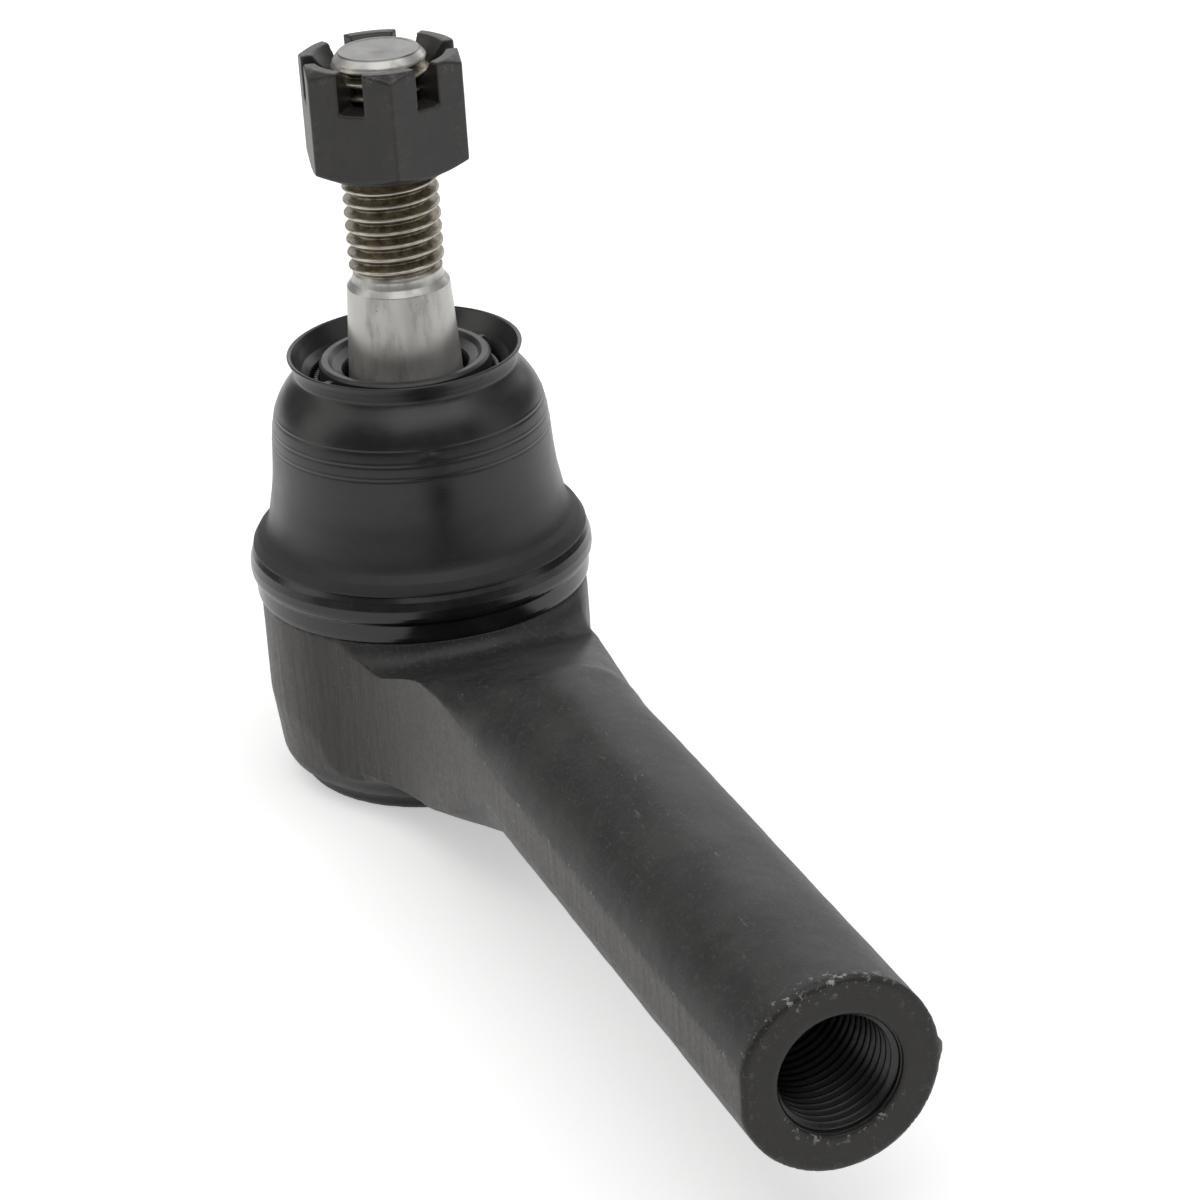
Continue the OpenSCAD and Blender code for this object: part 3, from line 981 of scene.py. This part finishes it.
def build_bush(material, spring):
    """The bush in the boot's lip, two small tabs across the gap, and the garter spring."""
    r, low, high = BUSH_HIGH[0], BUSH_LOW[2], BUSH_HIGH[2]
    outline = [(BUSH_HOLE_R, low, 0.2), (r, low, 0.2), (r, high - 0.4, 0.3), (r - 0.45, high, 0.3),
               (r - 1.3, high, 0.3), (r - 1.9, high - 0.7, 0.3), (BUSH_HOLE_R + 0.2, high - 1.5, 0.3),
               (BUSH_HOLE_R, high - 2, 0.2)]
    outline.append(outline[0][:2])
    item = new_object("bush", [lathe(rounded(outline))])
    work = bmesh.new()
    work.from_mesh(item.data)
    for degrees in TAB_DEGREES:
        turn = Matrix.Rotation(math.radians(degrees), 4, "Z")
        size = Matrix.Diagonal((*(side * MM for side in TAB_SIZE), 1))
        place = Matrix.Translation(((r + 0.35) * MM, 0, (high - 1.5) * MM))
        made = bmesh.ops.create_cube(work, size=1, matrix=turn @ place @ size)
        edges = {edge for vert in made["verts"] for edge in vert.link_edges}
        bmesh.ops.bevel(work, geom=list(edges), offset=0.25 * MM, segments=2, affect="EDGES")
    work.to_mesh(item.data)
    work.free()
    level_flats(item)
    finish_piece(item, "boot_top", "bush_plastic", material, "boot_bush")

    ring_r = (GARTER_HIGH[0] + r) / 2
    coil_z = (GARTER_LOW[2] + GARTER_HIGH[2]) / 2
    coil = new_object("garter_coil", [garter_coil(ring_r, coil_z)])
    finish_piece(coil, "boot_top", "spring_steel", spring, "garter_spring")


# ---------------------------------------------------------------- whole object

seat_plastic = coated_material("seat_plastic", (0.62, 0.60, 0.52), (0.74, 0.72, 0.64), 0.35, 0.5)
spring_steel = coated_material("spring_steel", (0.20, 0.205, 0.21), (0.33, 0.335, 0.34), 0.28, 0.42,
                               metallic=1.0)
cover_steel = coated_material("cover_steel", (0.030, 0.029, 0.028), (0.055, 0.053, 0.050), 0.36, 0.5, 0.02)
ring_black = coated_material("ring_black", (0.007, 0.007, 0.0076), (0.014, 0.014, 0.0148), 0.20, 0.30)
bush_plastic = coated_material("bush_plastic", (0.016, 0.016, 0.0165), (0.030, 0.030, 0.030), 0.32, 0.46)

build_housing(forging_material(), bore_material())
build_cover(cover_steel)
build_stud(stud_material())
build_nut(nut_material())
build_boot(rubber_material())
build_ring(ring_black)
build_bush(bush_plastic, spring_steel)

# Pieces inside the socket keep their CAD meshes
INSIDE = {"upper_seat": seat_plastic, "lower_seat": seat_plastic, "preload_spring": spring_steel}
for node, material in INSIDE.items():
    hidden = frame["nodes"][node]
    hidden.data.materials.clear()
    hidden.data.materials.append(material)

# -------------------------------------------------------------- floor, lights


FLOOR_HALF = 4.0
FLOOR_GLOW = 0.45


def build_stage():
    """A pale floor just under the barrel's rim that glows a little, so that it comes out nearly white."""
    half = FLOOR_HALF
    mesh = bpy.data.meshes.new("floor")
    z = (RIM_Z - 0.1) * MM
    corners = [(-half, -half, z), (half, -half, z), (half, half, z), (-half, half, z)]
    mesh.from_pydata(corners, [], [(0, 1, 2, 3)])
    floor = bpy.data.objects.new("floor", mesh)
    bpy.context.collection.objects.link(floor)
    p = Paint("pale_floor")
    tone = p.noise(60, 2)
    p.shader.inputs["Emission Color"].default_value = (1, 1, 1, 1)
    p.shader.inputs["Emission Strength"].default_value = FLOOR_GLOW
    color = p.mix(tone, (0.90, 0.90, 0.90), (0.92, 0.92, 0.92))
    mesh.materials.append(p.done(color, 0.9, specular=0.2))
    floor.visible_diffuse = False


LIGHT_TARGET = (0.05, 0, 0.02)


def add_light(name, azimuth, elevation, distance, size, watts, tint=(1, 1, 1)):
    """A rectangular soft light aimed at the object, sizes in metres. Azimuth turns from +X towards +Y."""
    data = bpy.data.lights.new(name, "AREA")
    data.shape = "RECTANGLE"
    data.size, data.size_y = size
    data.energy = watts
    data.color = tint
    light = bpy.data.objects.new(name, data)
    a, e = math.radians(azimuth), math.radians(elevation)
    target = Vector(LIGHT_TARGET)
    away = Vector((math.cos(e) * math.cos(a), math.cos(e) * math.sin(a), math.sin(e)))
    light.location = target + away * distance
    light.rotation_euler = away.to_track_quat("Z", "Y").to_euler()
    bpy.context.collection.objects.link(light)


def add_world(strength):
    """An even white surrounding."""
    world = bpy.data.worlds.new("studio")
    bpy.context.scene.world = world
    world.use_nodes = True
    background = world.node_tree.nodes["Background"]
    background.inputs["Color"].default_value = (1, 1, 1, 1)
    background.inputs["Strength"].default_value = strength


SENSOR_MM = 36


def add_camera(azimuth, elevation, roll, distance, right_mm, up_mm, focal_ratio):
    """A camera out from the origin at that azimuth and elevation, then moved right and up, in mm."""
    a, e, turn = math.radians(azimuth), math.radians(elevation), math.radians(roll)
    away = Vector((math.cos(e) * math.cos(a), math.cos(e) * math.sin(a), math.sin(e)))
    level = (-away).cross(Vector((0, 0, 1))).normalized()
    above = level.cross(-away)
    right = level * math.cos(turn) + above * math.sin(turn)
    up = above * math.cos(turn) - level * math.sin(turn)
    data = bpy.data.cameras.new("camera")
    data.sensor_width = SENSOR_MM
    data.lens = SENSOR_MM * focal_ratio
    data.clip_start, data.clip_end = 0.01, 20
    camera = bpy.data.objects.new("camera", data)
    location = (away * distance + right * right_mm + up * up_mm) * MM
    camera.matrix_world = Matrix.Translation(location) @ Matrix((right, up, away)).transposed().to_4x4()
    bpy.context.collection.objects.link(camera)
    bpy.context.scene.camera = camera


build_stage()
add_world(0.16)
add_light("overhead", 5, 70, 1.1, (1.3, 1.0), 6.5)
add_light("backdrop", 155, 27, 1.2, (1.8, 0.8), 6)
add_light("left", -110, 35, 0.9, (0.5, 1.1), 2.2, (1, 0.985, 0.96))
add_light("right", 60, 30, 0.9, (0.4, 1.1), 1.0)
add_camera(azimuth=-19.05, elevation=24.29, roll=-3.89, distance=640, right_mm=25.61, up_mm=6.18,
           focal_ratio=3.55)
bpy.context.scene.view_settings.view_transform = "Standard"
bpy.context.scene.view_settings.look = "None"
